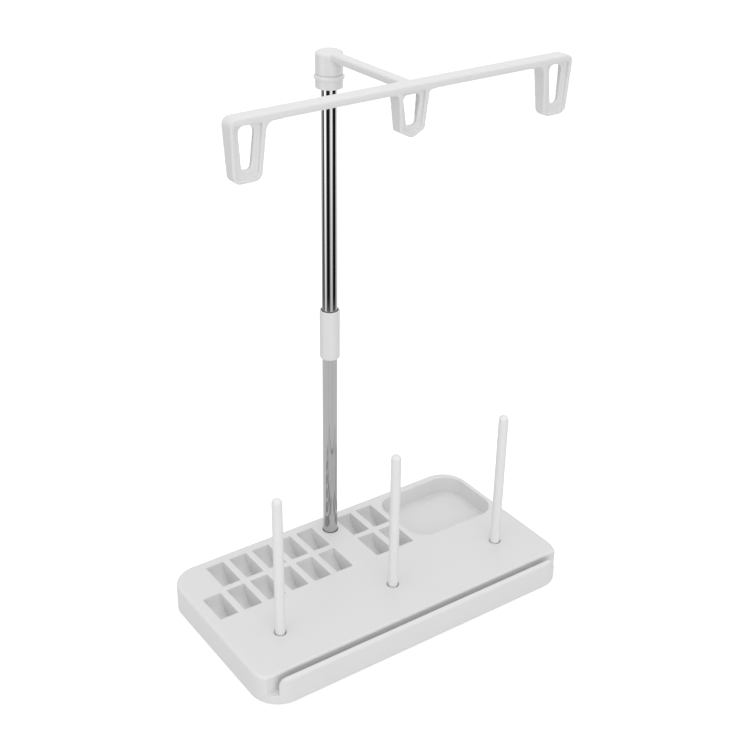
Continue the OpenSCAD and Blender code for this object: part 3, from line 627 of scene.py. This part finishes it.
def chrome(name):
    """Bright plating over drawn steel: faint lines along the tube and slow waves in the gloss."""
    material, nodes, links, out = new_material(name)
    place = add(nodes, "ShaderNodeTexCoord")
    stretch = add(nodes, "ShaderNodeMapping", links, [("Vector", place.outputs["Object"]),
                  ("Scale", DRAWN_STRETCH)])
    lines = add(nodes, "ShaderNodeTexNoise", links, [("Vector", stretch.outputs[0]),
                ("Scale", DRAWN_SCALE), ("Detail", DRAWN_DETAIL)])
    waves = add(nodes, "ShaderNodeTexNoise", links, [("Vector", place.outputs["Object"]),
                ("Scale", WAVE_SCALE), ("Detail", WAVE_DETAIL)])
    gloss = add(nodes, "ShaderNodeMapRange", links, [("Value", waves.outputs["Fac"]),
                ("To Min", CHROME_ROUGHNESS[0]), ("To Max", CHROME_ROUGHNESS[1])])
    bump = add(nodes, "ShaderNodeBump", links, [("Height", lines.outputs["Fac"]),
               ("Strength", DRAWN_STRENGTH), ("Distance", DRAWN_DEPTH)])
    tint = add(nodes, "ShaderNodeMixRGB", links, [("Fac", waves.outputs["Fac"]),
               ("Color1", CHROME_DARK), ("Color2", CHROME_PALE)])
    shader = add(nodes, "ShaderNodeBsdfPrincipled", links, [("Base Color", tint.outputs["Color"]),
                 ("Metallic", 1.0), ("Roughness", gloss.outputs["Result"]),
                 ("Normal", bump.outputs["Normal"])])
    links.new(shader.outputs[0], out.inputs["Surface"])
    return material


def tube_section(low, high):
    """The closed section of a tube's wall, with round ends."""
    outer, inner, r = TUBE_RADIUS, TUBE_RADIUS - TUBE_WALL, TUBE_END_ROUND
    section = []
    for middle_r, middle_z, start in ((outer - r, low + r, -90), (outer - r, high - r, 0),
                                      (inner + r, high - r, 90), (inner + r, low + r, 180)):
        section += arc(middle_r, middle_z, r, start, start + 90, SMALL_ROUND_STEPS)
    return section


tube_chrome = chrome("tube_chrome")
for name, body in (("lower_tube", "lower_pole"), ("upper_tube", "upper_pole")):
    low, high = (corner.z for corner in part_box(name))
    shape = turned(tube_section(low, high), POLE_X, POLE_Y, closed=True)
    tube = new_piece(name + "_chromed", shape, tube_chrome)
    finish_piece(tube, body, "chrome_steel", name)

# Coupler
# A white plastic sleeve, pressed on the lower tube, with a web inside. Its wide upper mouth takes
# the upper tube.
COUPLER_RADIUS = 6 * MM
COUPLER_FOOT_ROUND = 1.3 * MM
COUPLER_FOOT_STEPS = 8
COUPLER_TOP_ROUND = 0.4 * MM
SOCKET_DEPTH = 14.9 * MM
LOWER_BORE, UPPER_BORE = 4.56 * MM, 4.6 * MM
COUPLER_MOUTH_RADIUS = 5.2 * MM
COUPLER_MOUTH_DEPTH = 2.2 * MM

low, high = (corner.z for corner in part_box("coupler"))
profile = [(0, low + SOCKET_DEPTH), (LOWER_BORE, low + SOCKET_DEPTH), (LOWER_BORE, low)]
profile += arc(COUPLER_RADIUS - COUPLER_FOOT_ROUND, low + COUPLER_FOOT_ROUND, COUPLER_FOOT_ROUND,
               -90, 0, COUPLER_FOOT_STEPS)
profile += arc(COUPLER_RADIUS - COUPLER_TOP_ROUND, high - COUPLER_TOP_ROUND, COUPLER_TOP_ROUND,
               0, 90)
profile += [(COUPLER_MOUTH_RADIUS, high), (COUPLER_MOUTH_RADIUS, high - COUPLER_MOUTH_DEPTH),
            (UPPER_BORE, high - COUPLER_MOUTH_DEPTH), (UPPER_BORE, high - SOCKET_DEPTH),
            (0, high - SOCKET_DEPTH)]
coupler = new_piece("pole_coupler", turned(profile, POLE_X, POLE_Y),
                    white_plastic("coupler_plastic"))
finish_piece(coupler, "lower_pole", "white_plastic", "coupler")

# Collar
# The white plastic cap of the upper tube: a skirt and a round bead, which the guide's hub turns
# on, and above them the spigot inside the hub with its retaining ridge.
SKIRT_RADIUS = 7.6 * MM
SKIRT_HEIGHT = 4.5 * MM
SKIRT_ROUND = 0.4 * MM
BEAD_HEIGHT = 2.6 * MM
BEAD_OUT = 0.8 * MM
BEAD_FROM, BEAD_TO = -60, 50
BEAD_STEPS = 10
SPIGOT_RADIUS = 5.9 * MM
SPIGOT_ROUND = 0.3 * MM
RIDGE_OUT = 0.3 * MM
RIDGE_START, RIDGE_HEIGHT = 4.6 * MM, 1.2 * MM
END_PLAY, HUB_GAP = 0.2 * MM, 0.03 * MM
COLLAR_BORE = 4.56 * MM
COLLAR_BORE_DEPTH = 12 * MM

low, high = (corner.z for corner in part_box("head_collar"))
bead = low + SKIRT_HEIGHT
spigot = bead + BEAD_HEIGHT
seat = spigot + END_PLAY - HUB_GAP
ridge = spigot + RIDGE_START
profile = [(0, low + COLLAR_BORE_DEPTH), (COLLAR_BORE, low + COLLAR_BORE_DEPTH),
           (COLLAR_BORE, low)]
profile += arc(SKIRT_RADIUS - SKIRT_ROUND, low + SKIRT_ROUND, SKIRT_ROUND, -90, 0)
profile += [(SKIRT_RADIUS, bead)]
profile += arc(SKIRT_RADIUS + BEAD_OUT - BEAD_HEIGHT / 2, bead + BEAD_HEIGHT / 2, BEAD_HEIGHT / 2,
               BEAD_FROM, BEAD_TO, BEAD_STEPS)
profile += [(SKIRT_RADIUS, seat), (SPIGOT_RADIUS, seat), (SPIGOT_RADIUS, ridge),
            (SPIGOT_RADIUS + RIDGE_OUT, ridge), (SPIGOT_RADIUS + RIDGE_OUT, ridge + RIDGE_HEIGHT),
            (SPIGOT_RADIUS, ridge + RIDGE_HEIGHT)]
profile += arc(SPIGOT_RADIUS - SPIGOT_ROUND, high - SPIGOT_ROUND, SPIGOT_ROUND, 0, 90,
               SMALL_ROUND_STEPS)
profile += [(0, high)]
collar = new_piece("pole_collar", turned(profile, POLE_X, POLE_Y), white_plastic("collar_plastic"))
finish_piece(collar, "upper_pole", "white_plastic", "head_collar")

# Thread guide
# One moulding in white plastic: the hub, the arm, the crossbar and three loops with soft edges.
# The crossbar runs on into the outer rims of the end loops.
GUIDE_GRID = 0.38 * MM
SMOOTHING_STEPS = 5
SMOOTHING_SHARE = 0.5
BAR_HALF_DEPTH = 4.4 * MM
BAR_HEIGHT = 4.3 * MM
BAR_ROUND = 1.3 * MM
BAR_MIDDLE_Y = -26.4 * MM
BAR_TOP = 327.9 * MM
BAR_END_TOP = BAR_TOP - 1.0 * MM
BAR_END_FROM, BAR_END_TO = 99.0 * MM, 101.9 * MM


def add_bar_end(bm, side):
    """Lengthens the lower part of the crossbar to the rim of the end loop on one side."""
    y, z = BAR_HALF_DEPTH - BAR_ROUND, BAR_TOP - BAR_HEIGHT + BAR_ROUND
    section = [(-BAR_HALF_DEPTH, BAR_END_TOP)] + arc(-y, z, BAR_ROUND, 180, 270)
    section += arc(y, z, BAR_ROUND, 270, 360) + [(BAR_HALF_DEPTH, BAR_END_TOP)]
    section = [(BAR_MIDDLE_Y + out, high) for out, high in section]
    add_bar(bm, section, ALONG, BACK, POLE_X + side * BAR_END_FROM, POLE_X + side * BAR_END_TO)


guide_plastic = white_plastic("guide_plastic")
bm = merged_copy("guide_head")
for side in (-1, 1):
    add_bar_end(bm, side)
shape = new_piece("guide_shape", bm, guide_plastic)
guide = bpy.data.objects.new("thread_guide", shape.data)
scene.collection.objects.link(guide)
shell = guide.modifiers.new("even_grid", "REMESH")
shell.mode = "VOXEL"
shell.voxel_size = GUIDE_GRID
shell.use_smooth_shade = True
true_faces = guide.modifiers.new("true_faces", "SHRINKWRAP")
true_faces.target = shape
smoothing = guide.modifiers.new("soft_edges", "SMOOTH")
smoothing.factor = SMOOTHING_SHARE
smoothing.iterations = SMOOTHING_STEPS
finish_piece(guide, "guide", "white_plastic", "guide_head")
bpy.data.objects.remove(shape)
